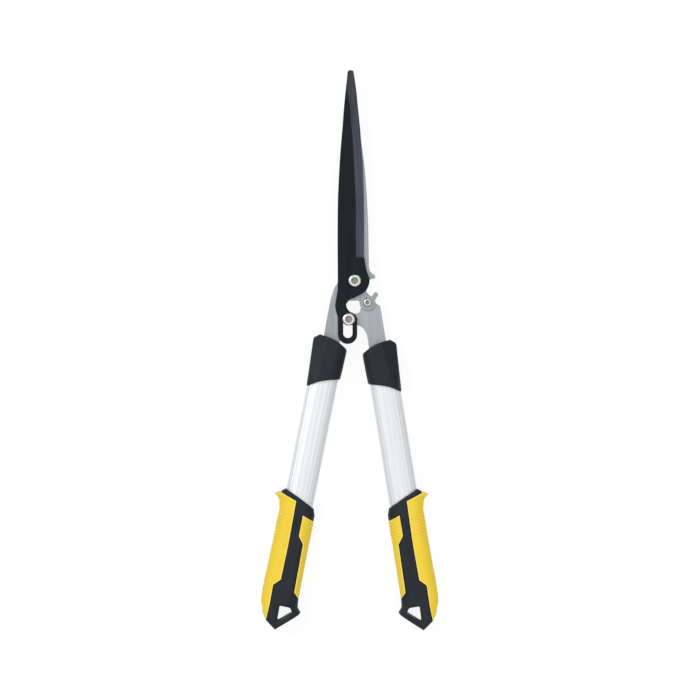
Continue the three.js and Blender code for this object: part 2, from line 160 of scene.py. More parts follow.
def heights(node):
    """A node's lowest and highest, in millimetres above the floor."""
    low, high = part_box(node)
    return low.z / MM, high.z / MM


JOINT_PLACES = {joint["name"]: Vector(joint["pos_m"]) for joint in frame["joints"]}
PIVOT_PLACE = JOINT_PLACES["blade_hinge"]
TOOL = Matrix.Translation((PIVOT_PLACE.x, PIVOT_PLACE.y, 0))


def in_tool(place):
    """A place in the row frame as millimetres in the tool's frame, seen from the front."""
    return ((place.x - PIVOT_PLACE.x) / MM, (place.y - PIVOT_PLACE.y) / MM)


PIVOT = (0.0, 0.0)
FULCRUM = in_tool(JOINT_PLACES["handle_hinge"])
DRIVE = in_tool(middle("drive_bush"))
FRONT_BLADE_BACK = heights("front_blade")[0]
REAR_BLADE_BACK = heights("rear_blade")[0]
RIGHT_TANG_BACK = heights("right_tang")[0]


class Handle:
    """One handle's frame, found from the two pins that hold its tang."""

    def __init__(self, name, side, tang_back):
        self.name, self.side, self.tang_back = name, side, tang_back
        self.body = f"{name}_lever"
        upper, lower = middle(f"{name}_tang_pin_upper"), middle(f"{name}_tang_pin_lower")
        self.down = (lower - upper).normalized()
        self.outwards = Vector((-self.down.y, self.down.x, 0)) * side
        self.origin = upper - self.down * PIN_ALONG[0] * MM - self.outwards * PIN_ACROSS * MM
        self.lean = math.atan2(self.down.x, -self.down.y)
        self.matrix = Matrix.Translation(self.origin) @ Matrix.Rotation(self.lean, 4, "Z")
        tube_points = frame["nodes"][f"{name}_tube"].data.vertices
        self.tube_end = max((vertex.co - self.origin).dot(self.down) for vertex in tube_points) / MM
        self.grip_start = self.tube_end - TUBE_INSIDE_GRIP

    def point(self, across, along):
        """A point of the handle in the tool's frame."""
        return in_tool(self.origin + self.outwards * across * MM + self.down * along * MM)


LEFT = Handle("left", -1, REAR_BLADE_BACK)
RIGHT = Handle("right", 1, RIGHT_TANG_BACK)


# ---- Outlines ----


def full_turn(steps):
    """Angles in even steps all the way round."""
    return 2 * np.pi * np.arange(steps) / steps


def arc(centre, radius, start, end, steps):
    """Points round part of a circle, between two angles in degrees."""
    angles = np.radians(np.linspace(start, end, steps + 1))
    return [(centre[0] + radius * math.cos(a), centre[1] + radius * math.sin(a)) for a in angles]


def circle(centre, radius, steps=48):
    return arc(centre, radius, 0, 360, steps)[:-1]


def curve(points, steps):
    """Even steps along a smooth curve through the points."""
    p = np.array([points[0], *points, points[-1]], float)
    made = []
    for t in np.linspace(0, len(points) - 1, steps + 1):
        i = min(int(t), len(points) - 2)
        s = t - i
        a, b, c, d = p[i], p[i + 1], p[i + 2], p[i + 3]
        squared, cubed = 2 * a - 5 * b + 4 * c - d, 3 * b - a - 3 * c + d
        made.append(tuple(0.5 * (2 * b + (c - a) * s + squared * s**2 + cubed * s**3)))
    return made


def rounded(corners, radius, steps=6):
    """The outline with each corner cut back and rounded."""
    made = []
    for i, corner in enumerate(corners):
        at = Vector(corner)
        start = at + (Vector(corners[i - 1]) - at).normalized() * radius
        end = at + (Vector(corners[(i + 1) % len(corners)]) - at).normalized() * radius
        for t in np.linspace(0, 1, steps + 1):
            made.append(tuple(start * (1 - t) ** 2 + at * 2 * t * (1 - t) + end * t**2))
    return made


def grown(outline, distance):
    """An anticlockwise outline with every edge moved outwards."""
    corners = [Vector(corner) for corner in outline]
    made = []
    for i, corner in enumerate(corners):
        before = (corner - corners[i - 1]).normalized()
        after = (corners[(i + 1) % len(corners)] - corner).normalized()
        out_before, out_after = Vector((before.y, -before.x)), Vector((after.y, -after.x))
        out = (out_before + out_after).normalized()
        made.append(tuple(corner + out * (distance / out.dot(out_before))))
    return made


def across_at(y, line):
    """How far across a line of points is, at each y."""
    across, along = zip(*line)
    return np.interp(y, along, across)


def inside_distance(x, y, outline):
    """How far each point is inside the outline, or minus how far outside."""
    corners = np.array(outline, float)
    nearest = np.full(x.shape, np.inf)
    inside = np.zeros(x.shape, bool)
    for (ax, ay), (bx, by) in zip(corners, np.roll(corners, -1, axis=0)):
        dx, dy = bx - ax, by - ay
        t = np.clip(((x - ax) * dx + (y - ay) * dy) / (dx * dx + dy * dy), 0, 1)
        nearest = np.minimum(nearest, np.hypot(x - ax - t * dx, y - ay - t * dy))
        if ay != by:
            crosses = ((ay > y) != (by > y)) & (x < ax + (y - ay) * dx / dy)
            inside ^= crosses
    return np.where(inside, nearest, -nearest)


def ramp(value, low, high):
    """0 below low, 1 above high, smooth between."""
    t = np.clip((value - low) / (high - low), 0, 1)
    return t * t * (3 - 2 * t)


def crests(turns):
    """1 at each whole turn, 0 half-way between."""
    return 0.5 + 0.5 * np.cos(2 * np.pi * turns)


# ---- Meshes ----


def add_object(name, data, matrix=LOCAL):
    made = bpy.data.objects.new(name, data)
    made.matrix_world = matrix
    bpy.context.scene.collection.objects.link(made)
    return made


def copy_of(made, name):
    twin = made.copy()
    twin.data = made.data.copy()
    twin.name = twin.data.name = name
    bpy.context.scene.collection.objects.link(twin)
    return twin


def evaluated_mesh(made):
    """A new mesh of an object as its modifiers, or its curve's settings, leave it."""
    depsgraph = bpy.context.evaluated_depsgraph_get()
    return bpy.data.meshes.new_from_object(made.evaluated_get(depsgraph))


def weld(made, distance=WELD):
    """Joins points that lie together, drops what has no size, and turns the faces outwards."""
    work = bmesh.new()
    work.from_mesh(made.data)
    bmesh.ops.remove_doubles(work, verts=work.verts, dist=distance * MM)
    bmesh.ops.dissolve_degenerate(work, edges=work.edges, dist=distance * MM)
    bmesh.ops.recalc_face_normals(work, faces=work.faces)
    work.to_mesh(made.data)
    work.free()
    return made


def shade(made, sharp_degrees=32, flat_ends=True):
    """Smooth shading with sharp edges, and flat shading on the faces square to Z."""
    mesh, level = made.data, 0.9999
    mesh.set_sharp_from_angle(angle=math.radians(sharp_degrees))
    for polygon in mesh.polygons:
        polygon.use_smooth = not (flat_ends and abs(polygon.normal.z) > level)
    return made


def boolean(target, cutter, operation="DIFFERENCE", solver="MANIFOLD", material_mode="INDEX"):
    """Cuts the target with a form, or joins or trims it, and uses the form up."""
    modifier = target.modifiers.new("cut", "BOOLEAN")
    modifier.object = cutter
    modifier.operation = operation
    modifier.solver = solver
    modifier.material_mode = material_mode
    finished = evaluated_mesh(target)
    target.modifiers.clear()
    target.data = finished
    bpy.data.objects.remove(cutter)
    return target


def solid(name, points, faces, matrix=TOOL, join=FINE_WELD):
    """A closed mesh object from points in millimetres."""
    mesh = bpy.data.meshes.new(name)
    mesh.from_pydata((np.array(points, float) * MM).tolist(), [], faces)
    return weld(add_object(name, mesh, matrix), join)


def from_rings(name, rings, matrix=TOOL, closed=False, join=FINE_WELD):
    """A solid inside rings of points. Closed joins the last ring to the first, and open ends are capped."""
    rings = np.array(rings, float)
    rows, around = rings.shape[:2]
    faces = []
    for row in range(rows if closed else rows - 1):
        a, b = row * around, (row + 1) % rows * around
        faces += [(a + i, a + (i + 1) % around, b + (i + 1) % around, b + i) for i in range(around)]
    if not closed:
        faces += [tuple(range(around))[::-1], tuple(range((rows - 1) * around, rows * around))]
    return solid(name, rings.reshape(-1, 3), faces, matrix, join)


def prism(name, outline, low, high, matrix=TOOL):
    """A plain upright prism."""
    count = len(outline)
    points = [(x, y, z) for z in (low, high) for x, y in outline]
    faces = [(i, (i + 1) % count, (i + 1) % count + count, i + count) for i in range(count)]
    faces += [tuple(range(count))[::-1], tuple(range(count, 2 * count))]
    return solid(name, points, faces, matrix)


def turned(name, profile, centre, segments=64, closed=False):
    """A turned piece, from its profile as radius and height."""
    rings = [
        [(centre[0] + r * math.cos(a), centre[1] + r * math.sin(a), z) for a in full_turn(segments)]
        for r, z in profile
    ]
    return from_rings(name, rings, closed=closed, join=WELD)


def plate(name, outline, holes, back):
    """A flat plate with holes and rounded edges."""
    data = bpy.data.curves.new(name, "CURVE")
    data.dimensions = "2D"
    data.fill_mode = "BOTH"
    data.extrude = (PLATE / 2 - PLATE_EDGE) * MM
    data.bevel_depth = PLATE_EDGE * MM
    data.bevel_resolution = 1
    data.offset = -PLATE_EDGE * MM
    for points in (outline, *holes):
        spline = data.splines.new("POLY")
        spline.points.add(len(points) - 1)
        for point, (x, y) in zip(spline.points, points):
            point.co = (x * MM, y * MM, 0, 1)
        spline.use_cyclic_u = True
    drawn = add_object(name, data)
    mesh = evaluated_mesh(drawn)
    bpy.data.objects.remove(drawn)
    mesh.transform(Matrix.Translation((0, 0, (back + PLATE / 2) * MM)))
    return weld(add_object(name, mesh, TOOL))


def oval_rings(inner, outer, depth, along, around):
    """Rounded rings of points down a handle, as an array of rows, points and axes."""
    angles = full_turn(around)
    across = np.sign(np.cos(angles)) * np.abs(np.cos(angles)) ** (2 / ROUNDNESS)
    up = np.sign(np.sin(angles)) * np.abs(np.sin(angles)) ** (2 / ROUNDNESS)
    x = (inner + outer)[:, None] / 2 + (outer - inner)[:, None] / 2 * across
    return np.stack([x, -along[:, None] + 0 * x, depth[:, None] * up], axis=2)


def oval(name, half_width, half_depth, start, end, around=96):
    """A plain oval bar along a handle."""
    width, depth = np.full(2, half_width), np.full(2, half_depth)
    return from_rings(name, oval_rings(-width, width, depth, np.array([start, end]), around), LOCAL)


def tube_bore(start, end):
    return oval("bore", TUBE_HALF_WIDTH + CLEARANCE, TUBE_HALF_DEPTH + CLEARANCE, start, end)


def punch(name, outline):
    """A prism that reaches right through a handle."""
    return prism(name, outline, -THROUGH, THROUGH, LOCAL)


def skin(sections, step, around, blur):
    """The rings of a moulded piece through its sections, with its outward normals."""
    table = np.array(sections, float)
    along = np.arange(table[0, 0], table[-1, 0] + step / 2, step)
    width = max(1, round(blur / step)) * 2 + 1
    kernel = np.hanning(width + 2)[1:-1]
    kernel /= kernel.sum()

    def column(i):
        values = np.interp(along, table[:, 0], table[:, i])
        padded = np.pad(values, width // 2, mode="reflect", reflect_type="odd")
        return np.convolve(padded, kernel, mode="valid")

    rings = oval_rings(column(1), column(2), column(3), along, around)
    rings[..., 2] = np.clip(rings[..., 2], -SKIN_FLAT, SKIN_FLAT)
    round_way = np.roll(rings, -1, axis=1) - np.roll(rings, 1, axis=1)
    down_way = np.gradient(rings, axis=0)
    normals = np.cross(down_way, round_way)
    normals /= np.linalg.norm(normals, axis=2, keepdims=True)
    from_middle = rings - rings.mean(axis=1, keepdims=True)
    return rings, normals * np.sign((normals * from_middle).sum(axis=2, keepdims=True))


# ---- Materials ----


def add(tree, kind, inputs=None, **settings):
    """A shader node, with its settings and with values or links on its inputs."""
    made = tree.nodes.new(kind)
    for key, value in settings.items():
        setattr(made, key, value)
    for key, value in (inputs or {}).items():
        if isinstance(value, bpy.types.NodeSocket):
            tree.links.new(value, made.inputs[key])
        else:
            made.inputs[key].default_value = value
    return made


def noise(tree, grain, detail=4.0, lean=0.0):
    """Noise through the piece. Its grain is in millimetres along X, Y and Z, turned by lean about Z."""
    place = add(tree, "ShaderNodeTexCoord").outputs["Object"]
    size = Vector(grain if isinstance(grain, tuple) else (grain,) * 3) * MM
    inputs = {"Vector": place, "Rotation": (0, 0, lean), "Scale": size}
    scaled = add(tree, "ShaderNodeMapping", inputs, vector_type="TEXTURE").outputs[0]
    made = add(tree, "ShaderNodeTexNoise", {"Vector": scaled, "Scale": 1.0, "Detail": detail})
    return made.outputs["Fac"]


def spread(tree, value, low, high, to_low, to_high):
    """Maps a value from one range to another, clamped."""
    return add(tree, "ShaderNodeMapRange", {
        "Value": value, "From Min": low, "From Max": high, "To Min": to_low, "To Max": to_high,
    }).outputs[0]


def wander(tree, field, least, most):
    """A number that follows a noise field, from its usual low values to its usual high ones."""
    return spread(tree, field, 0.3, 0.7, least, most)


def product(tree, first, second):
    return add(tree, "ShaderNodeMath", {0: first, 1: second}, operation="MULTIPLY").outputs[0]


def mix(tree, factor, first, second):
    made = add(tree, "ShaderNodeMix", data_type="RGBA")
    for socket, value in ((made.inputs[0], factor), (made.inputs[6], first), (made.inputs[7], second)):
        if isinstance(value, bpy.types.NodeSocket):
            tree.links.new(value, socket)
        else:
            socket.default_value = (*value, 1) if isinstance(value, tuple) else value
    return made.outputs[2]


def edge_mask(tree):
    """1 on the rounded edges of a flat plate, 0 on its faces and its straight walls."""
    normal = add(tree, "ShaderNodeNewGeometry").outputs["Normal"]
    z = add(tree, "ShaderNodeSeparateXYZ", {0: normal}).outputs["Z"]
    tilt = add(tree, "ShaderNodeMath", {0: z}, operation="ABSOLUTE").outputs[0]
    off_face = spread(tree, tilt, 0.9, 0.99, 1, 0)
    off_wall = spread(tree, tilt, 0.15, 0.4, 0, 1)
    return product(tree, off_face, off_wall)


def bend_mask(tree, none, full):
    """0 to 1 as a finely meshed surface bends from none to full. Flat is 0.5, and a ridge is more."""
    bend = add(tree, "ShaderNodeNewGeometry").outputs["Pointiness"]
    return spread(tree, bend, none, full, 0, 1)


def finish(name, color, roughness, bump, bump_distance, metallic=0.0, specular=0.5):
    """A Principled material. Color, roughness and bump are functions of its node tree."""
    made = bpy.data.materials.new(name)
    made.use_nodes = True
    tree = made.node_tree
    shader = tree.nodes["Principled BSDF"]
    shader.inputs["Metallic"].default_value = metallic
    shader.inputs["Specular IOR Level"].default_value = specular
    tree.links.new(color(tree), shader.inputs["Base Color"])
    tree.links.new(roughness(tree), shader.inputs["Roughness"])
    relief = {"Height": bump(tree), "Strength": 1.0, "Distance": bump_distance * MM}
    tree.links.new(add(tree, "ShaderNodeBump", relief).outputs[0], shader.inputs["Normal"])
    return made


def coated_steel():
    def color(tree):
        cloud = mix(tree, noise(tree, 30), (0.0065, 0.0080, 0.0110), (0.0095, 0.0118, 0.0152))
        streaks = spread(tree, noise(tree, (2.4, 110, 2.4), 6), 0.45, 0.7, 0, 0.5)
        streaked = mix(tree, streaks, cloud, (0.012, 0.015, 0.018))
        chips = spread(tree, noise(tree, 4), 0.5, 0.68, 0, 0.6)
        return mix(tree, product(tree, edge_mask(tree), chips), streaked, (0.08, 0.08, 0.085))

    def roughness(tree):
        return wander(tree, noise(tree, 18), 0.34, 0.52)

    def bump(tree):
        return noise(tree, 0.6)

    return finish("coated_steel", color, roughness, bump, 0.03, specular=0.09)


def ground_bevel():
    def color(tree):
        lines = spread(tree, noise(tree, (0.8, 45, 3), 5, BEVEL_LEAN), 0.35, 0.65, 0, 1)
        ground = mix(tree, lines, (0.046, 0.051, 0.068), (0.080, 0.088, 0.114))
        place = add(tree, "ShaderNodeTexCoord").outputs["Object"]
        along = add(tree, "ShaderNodeSeparateXYZ", {0: place}).outputs["Y"]
        tip = PIVOT_PLACE.y + BEVEL_TIP * MM
        near_tip = spread(tree, along, tip - BEVEL_FADE * MM, tip, 0, 0.5)
        return mix(tree, near_tip, ground, (0.020, 0.022, 0.028))

    def roughness(tree):
        return wander(tree, noise(tree, (1.2, 30, 3), 5, BEVEL_LEAN), 0.34, 0.52)

    def bump(tree):
        return noise(tree, (0.5, 30, 3), 5, BEVEL_LEAN)

    return finish("ground_bevel", color, roughness, bump, 0.02, metallic=0.7)


# Copies of one bright steel with all colours scaled: a scale above 1 paints light onto a copy, as for the
# right tang.
def bright_steel(name, painted_light_scale):
    def scaled_by_painted_light(red, green, blue):
        return (red * painted_light_scale, green * painted_light_scale, blue * painted_light_scale)

    def color(tree):
        cloud = mix(tree, noise(tree, 22), scaled_by_painted_light(0.262, 0.287, 0.302), scaled_by_painted_light(0.337, 0.362, 0.377))
        lines = spread(tree, noise(tree, (1.1, 33, 1.1), 6), 0.4, 0.7, 0, 0.45)
        lined = mix(tree, lines, cloud, scaled_by_painted_light(0.44, 0.46, 0.475))
        return mix(tree, edge_mask(tree), lined, scaled_by_painted_light(0.44, 0.46, 0.48))

    def roughness(tree):
        return wander(tree, noise(tree, (2, 42, 2), 6), 0.36, 0.52)

    def bump(tree):
        return noise(tree, (0.7, 16, 0.7), 6)

    return finish(name, color, roughness, bump, 0.02, metallic=1.0)


def nickel():
    def color(tree):
        return mix(tree, noise(tree, 6), (0.66, 0.64, 0.59), (0.82, 0.80, 0.75))

    def roughness(tree):
        return wander(tree, noise(tree, 4), 0.12, 0.28)

    def bump(tree):
        return noise(tree, 1.1)

    return finish("nickel", color, roughness, bump, 0.02, metallic=1.0)


# A darker nickel for the inside of a bolt's drive recess: painted shade.
def socket_painted_shade():
    def color(tree):
        return mix(tree, noise(tree, 3), (0.12, 0.115, 0.10), (0.40, 0.385, 0.35))

    def roughness(tree):
        return wander(tree, noise(tree, 2), 0.25, 0.5)

    def bump(tree):
        return noise(tree, 0.8)

    return finish("socket_painted_shade", color, roughness, bump, 0.03, metallic=1.0)


def aluminium(lean):
    def color(tree):
        drawn = spread(tree, noise(tree, (1.4, 160, 1.4), 6, lean), 0.35, 0.7, 0, 1)
        return mix(tree, drawn, (0.68, 0.70, 0.715), (0.77, 0.785, 0.80))

    def roughness(tree):
        return wander(tree, noise(tree, (2, 120, 2), 6, lean), 0.38, 0.50)

    def bump(tree):
        return noise(tree, (0.7, 80, 0.7), 6, lean)

    return finish("aluminium", color, roughness, bump, 0.02, metallic=0.35)


def black_plastic():
    def color(tree):
        cloud = mix(tree, noise(tree, 25), (0.0065, 0.0105, 0.0140), (0.0175, 0.0210, 0.0265))
        # Ridges and rounded edges turn lighter: painted highlight.
        return mix(tree, bend_mask(tree, 0.52, 0.58), cloud, (0.020, 0.024, 0.030))

    def roughness(tree):
        return wander(tree, noise(tree, 14), 0.44, 0.62)

    def bump(tree):
        return noise(tree, 0.75, 2.0)

    return finish("black_plastic", color, roughness, bump, 0.06, specular=0.22)


def yellow_rubber():
    painted_highlight_yellow = (0.88, 0.71, 0.15)

    def color(tree):
        cloud = mix(tree, noise(tree, 28), (0.76, 0.53, 0.032), (0.81, 0.575, 0.042))
        rim = add(tree, "ShaderNodeAttribute", attribute_name="rim").outputs["Fac"]
        # Points near the pads' rims and on ridges turn pale: painted highlight.
        with_painted_highlights = mix(tree, bend_mask(tree, 0.515, 0.58), mix(tree, rim, cloud, painted_highlight_yellow), painted_highlight_yellow)
        # Creases and grooves turn darker: painted shade.
        return mix(tree, bend_mask(tree, 0.495, 0.42), with_painted_highlights, (0.55, 0.36, 0.015))

    def roughness(tree):
        return wander(tree, noise(tree, 12), 0.50, 0.68)

    def bump(tree):
        return noise(tree, 0.65, 2.0)

    return finish("yellow_rubber", color, roughness, bump, 0.05, specular=0.3)


COATED_STEEL, GROUND_BEVEL = coated_steel(), ground_bevel()
# The right tang's steel is the blade's steel painted 15% lighter: painted light, since both are the same
# steel.
BLADE_STEEL, TANG_STEEL_PAINTED_LIGHTER = bright_steel("blade_steel", 1.0), bright_steel("tang_steel_painted_lighter", 1.15)
NICKEL, SOCKET_PAINTED_SHADE = nickel(), socket_painted_shade()
BLACK_PLASTIC, YELLOW_RUBBER = black_plastic(), yellow_rubber()


def install(made, body, slot, *materials):
    """Gives a finished piece its place, its materials and its body, and hides the CAD node that it stands
    for.
    """
    made.data.transform(made.matrix_world)
    made.matrix_world = Matrix.Identity(4)
    if materials:
        made.data.materials.clear()
    for material in materials:
        made.data.materials.append(material)
    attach(made, body)
    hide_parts(made.name.removesuffix("_skin"))


# ---- Blades and tangs ----


def front_blade():
    outline = [
        *arc((-8, -60), 10.8, 180, 360, 32),
        *curve([(2.8, -46), (2.2, -41.4), (-1.1, -36.7), (-6.2, -33.9), (-9.3, -28.6), (-8.7, -24.6),
                (-5.6, -21), (1.7, -17.9), (10.1, -13.4)], 64),
        *arc(PIVOT, 16.6, -45, 8, 20),
        *curve([(14.9, 6.9), (12.9, 12.3), (11.2, 21.3), (10.4, 27)], 14),
        *curve(BLADE_EDGE, 40),
        *curve([(-1.5, 234.6), (-2.3, 235.5), (-4.5, 235.8), (-6.6, 235.5), (-7.7, 234.4)], 12),
        *curve([(-8.1, 233), (-11.8, 197), (-14, 169), (-16.2, 143), (-18.1, 110), (-19, 86), (-19.3, 46),
                (-19, 0)], 40),
        *curve([(-19, -10), (-21.3, -23.5), (-21.8, -28), (-20.7, -34.7), (-18.8, -40.3)], 28),
    ]
    slot_x, slot_low, slot_high, slot_half_width = -7.7, -58.9, -41.5, 5.15
    slot = [
        *arc((slot_x, slot_low), slot_half_width, 180, 360, 24),
        *arc((slot_x, slot_high), slot_half_width, 0, 180, 24),
    ]
    made = plate("front_blade_skin", outline, [circle(PIVOT, PIVOT_HOLE), slot], FRONT_BLADE_BACK)
    made.data.materials.append(COATED_STEEL)
    grind = bevel_grind(FRONT_BLADE_BACK + PLATE)
    grind.data.materials.append(GROUND_BEVEL)
    boolean(made, grind, solver="EXACT", material_mode="TRANSFER")
    install(shade(made, 20), "cutting_blade", "coated_steel")


def bevel_grind(top):
    """The space that the grinding wheel clears along the front blade's cutting edge."""
    land = 0.7  # thickness left at the cutting edge
    depth = PLATE - land
    hollow = 0.35  # how much steeper than on average the ground face starts
    run_on, run_on_fall = 12.0, 1.2  # of the ground face, past the cutting edge
    y = np.linspace(BEVEL_START, BEVEL_END, 60)
    edges = across_at(y, [(10.4, BEVEL_START), *BLADE_EDGE[:-1], (-2, BEVEL_END)])
    across = np.linspace(0, 1, 9)
    fall = depth * ((1 + hollow) * across - hollow * across**2)
    rings = []
    for start, edge, at in zip(across_at(y, BEVEL_LINE), edges, y):
        ground = [(start + (edge - start) * s, at, top - f) for s, f in zip(across, fall)]
        beyond, bottom, above = edge + run_on, top - depth - run_on_fall, top + OVERSHOOT
        rings.append([*ground, (beyond, at, bottom), (beyond, at, above), (start, at, above)])
    return from_rings("grind", rings)


def tang_strip(handle):
    strip = [
        handle.point(TANG_OUTER, TANG_OUTER_START), handle.point(TANG_OUTER, TANG_END),
        handle.point(TANG_INNER, TANG_END), handle.point(TANG_INNER, TANG_INNER_START),
    ]
    return strip if handle.side > 0 else strip[::-1]


def pin_holes(handle):
    return [circle(handle.point(PIN_ACROSS, along), PIN_RADIUS + CLEARANCE, 24) for along in PIN_ALONG]


def rear_blade():
    outline = [
        *curve([(-3.6, 228), (0, 216), (5.7, 170), (8.1, 150), (11.8, 119), (14.6, 74), (15.5, 40),
                (15.9, 16)], 40),
        *curve([(16.8, 11.4), (19, 8.6), (21.2, 7.2)], 10), *arc((20.4, 4.7), 2.6, 60, -115, 14),
        (16.8, 1.2), (15.4, -4), (12.8, -12.2), (17.5, -16.9),
        (19.2, -17.1), *arc((23.4, -15.6), 2.8, 160, -30, 16),
        *arc(FULCRUM, 8.9, 18, -182, 40),
        (4.5, -22.3), (-6.2, -22.3), (-9.4, -25.6),
        *curve([(-11.8, -31.4), (-14.6, -45.9), (-16.6, -68.3)], 14),
        *tang_strip(LEFT),
        *curve([(-32.5, -48.2), (-29.7, -33.6), (-26.9, -20.2), (-23, -7.8), (-18.7, -1.1), (-14.5, 12)], 30),
        (-10, 30), (-8.5, 225), (-6.4, 232.4),
    ]
    holes = [circle(PIVOT, PIVOT_HOLE), circle(FULCRUM, SMALL_HOLE), *pin_holes(LEFT)]
    made = plate("rear_blade_skin", outline, holes, REAR_BLADE_BACK)
    top = REAR_BLADE_BACK + PLATE
    recess_radius, recess_depth = 5.3, 0.7
    recess = prism("recess", circle(FULCRUM, recess_radius), top - recess_depth, top + OVERSHOOT)
    boolean(made, recess, solver="EXACT")
    groove_inner, groove_outer, groove_depth = 8.6, 9.1, 0.5
    round_fulcrum = [*arc(FULCRUM, groove_outer, 88, 205, 24), *arc(FULCRUM, groove_inner, 205, 88, 24)]
    groove = prism("groove", round_fulcrum, top - groove_depth, top + OVERSHOOT)
    boolean(made, groove, solver="EXACT")
    install(shade(made), "left_lever", "bright_steel", BLADE_STEEL)


def right_tang():
    outline = [
        (24.8, -25.9), (28.4, -27.9),
        *curve([(29.7, -34.7), (31.9, -48.2), (34.5, -64)], 10),
        *tang_strip(RIGHT),
        *curve([(15.9, -76), (15.1, -68.3), (13.4, -60.5), (10.6, -54.9), (7.3, -51.5), (2.8, -49.8),
                (-2, -49.4)], 40),
        *arc(DRIVE, 7, -70, -290, 30),
        *curve([(1.2, -36.7), (4.8, -34.9), (6.5, -30.2), (6.1, -25.5)], 20),
        *arc(FULCRUM, 8.6, 176, 4, 30),
    ]
    holes = [circle(FULCRUM, SMALL_HOLE), circle(DRIVE, SMALL_HOLE), *pin_holes(RIGHT)]
    made = plate("right_tang_skin", outline, holes, RIGHT_TANG_BACK)
    install(shade(made), "right_lever", "bright_steel", TANG_STEEL_PAINTED_LIGHTER)


# ---- Fasteners ----


def six_lobes(centre, radius, steps=72):
    """The outline of a six-lobed recess."""
    wave = 0.15  # share of the radius
    made = []
    for angle in full_turn(steps):
        reach = radius * (1 - wave + wave * math.cos(6 * angle))
        made.append((centre[0] + reach * math.cos(angle), centre[1] + reach * math.sin(angle)))
    return made


def bolt(name, body, centre, shank, head):
    """A bolt with a low domed head and a six-lobed drive recess, between the heights of its CAD node."""
    low, high = heights(name)
    radius, crown, seat = head["radius"], head["height"], high - head["height"]
    chamfer, soft = 0.5, 0.3
    side, dome, flat = 0.35, 0.32, 0.6  # shares: of the head's height, and of its radius
    profile = [
        (0, low), (shank - chamfer, low), (shank, low + chamfer), (shank, seat), (radius - soft, seat),
        (radius, seat + soft), (radius, seat + crown * side),
    ]
    for a in np.linspace(0.2, math.pi / 2, 7):
        height = side + (1 - side) * math.sin(a)
        profile.append((radius - radius * dome * (1 - math.cos(a)), seat + crown * height))
    profile += [(radius * flat, high), (0, high)]
    made = turned(f"{name}_skin", profile, centre)
    cut_recess(made, centre, high, head["recess_radius"], head["recess_depth"])
    install(shade(made, 28, flat_ends=False), body, "nickel_plate", NICKEL, SOCKET_PAINTED_SHADE)
    # The recess gets the darker nickel: painted shade.
    paint_recess_shade(made, centre, low + head["recess_depth"], high, head["recess_radius"])


def cut_recess(made, centre, top, radius, depth):
    """Cuts the lobes, a cone below them and a countersink above them."""
    bottom, overlap, segments = top - depth, 0.1, 36
    cone_depth, cone_radius = 0.9, 0.6 * radius
    sink_depth, sink_radius, sink_inner_radius = 0.7, 0.98 * radius, 0.7 * radius
    boolean(made, prism("lobes", six_lobes(centre, radius), bottom, top + OVERSHOOT))
    cone = [(0, bottom - cone_depth), (cone_radius, bottom + overlap), (0, bottom + overlap)]
    boolean(made, turned("cone", cone, centre, segments))
    countersink = [
        (0, top - sink_depth - overlap), (sink_inner_radius, top - sink_depth), (sink_radius, top + overlap),
        (0, top + overlap),
    ]
    boolean(made, turned("countersink", countersink, centre, segments))


def paint_recess_shade(made, centre, low, high, radius):
    """Gives the bolt's second material, a dark nickel that paints shade inside the recess, to what lies near
    its axis, between two heights.
    """
    margin = 0.05
    for polygon in made.data.polygons:
        off_axis = math.dist(in_tool(polygon.center), centre)
        if off_axis < radius + margin and low < polygon.center.z / MM < high - margin:
            polygon.material_index = 1


def washer(name, body, centre, radius, hole):
    low, high = heights(name)
    soft = 0.2
    profile = [
        (hole, low), (radius - soft, low), (radius, low + soft), (radius, high - soft), (radius - soft, high),
        (hole, high),
    ]
    made = turned(f"{name}_skin", profile, centre, closed=True)
    install(shade(made), body, "nickel_plate", NICKEL)


def nut(name, body, centre, flat_radius, hole):
    """A hexagon nut with chamfered corners and a rounded collar towards the back."""
    low, high = heights(name)
    collar_height, chamfer, soft, overlap = 1.2, 0.5, 0.4, 0.8
    corner = flat_radius / math.cos(math.pi / 6)
    shoulder, beyond = low + collar_height, corner + 0.1
    made = prism(f"{name}_skin", circle(centre, corner, 6), shoulder, high)
    rounding = [
        (0, low), (flat_radius, low), (beyond, shoulder + chamfer), (beyond, high - chamfer),
        (corner - chamfer, high), (0, high),
    ]
    boolean(made, turned("rounding", rounding, centre), "INTERSECT")
    narrow, wide = 0.8 * flat_radius, 0.9 * flat_radius
    collar_form = [
        (0, low), (narrow, low), (wide, low + soft), (wide, shoulder + overlap), (0, shoulder + overlap),
    ]
    boolean(made, turned("collar", collar_form, centre), "UNION")
    boolean(made, prism("bore", circle(centre, hole), low - OVERSHOOT, high + OVERSHOOT))
    install(shade(made, 28, flat_ends=False), body, "nickel_plate", NICKEL)


def fasteners():
    bolt("pivot_bolt", "left_lever", PIVOT, PIVOT_SHANK, BIG_HEAD)
    bolt("drive_bolt", "right_lever", DRIVE, SMALL_SHANK, BIG_HEAD)
    bolt("fulcrum_bolt", "left_lever", FULCRUM, SMALL_SHANK, SMALL_HEAD)
    washer("pivot_washer", "left_lever", PIVOT, radius=8.4, hole=PIVOT_HOLE)
    washer("drive_washer", "right_lever", DRIVE, radius=6.5, hole=SMALL_HOLE)
    washer("fulcrum_washer", "left_lever", FULCRUM, radius=6.5, hole=SMALL_HOLE)
    nut("pivot_nut", "left_lever", PIVOT, flat_radius=6.5, hole=PIVOT_HOLE)
    nut("drive_nut", "right_lever", DRIVE, flat_radius=5.0, hole=SMALL_HOLE)
    nut("fulcrum_nut", "left_lever", FULCRUM, flat_radius=5.0, hole=SMALL_HOLE)
    washer("drive_bush", "right_lever", DRIVE, radius=4.0, hole=SMALL_HOLE)


# ---- Handles ----


def for_handle(handle, shape, name):
    """A copy of a shape drawn for the right handle, mirrored for the left, in a handle's place."""
    made = copy_of(shape, f"{handle.name}_{name}_skin")
    if handle.side < 0:
        made.data.transform(Matrix.Diagonal((-1, 1, 1, 1)))
        made.data.flip_normals()
    made.matrix_world = handle.matrix
    return made


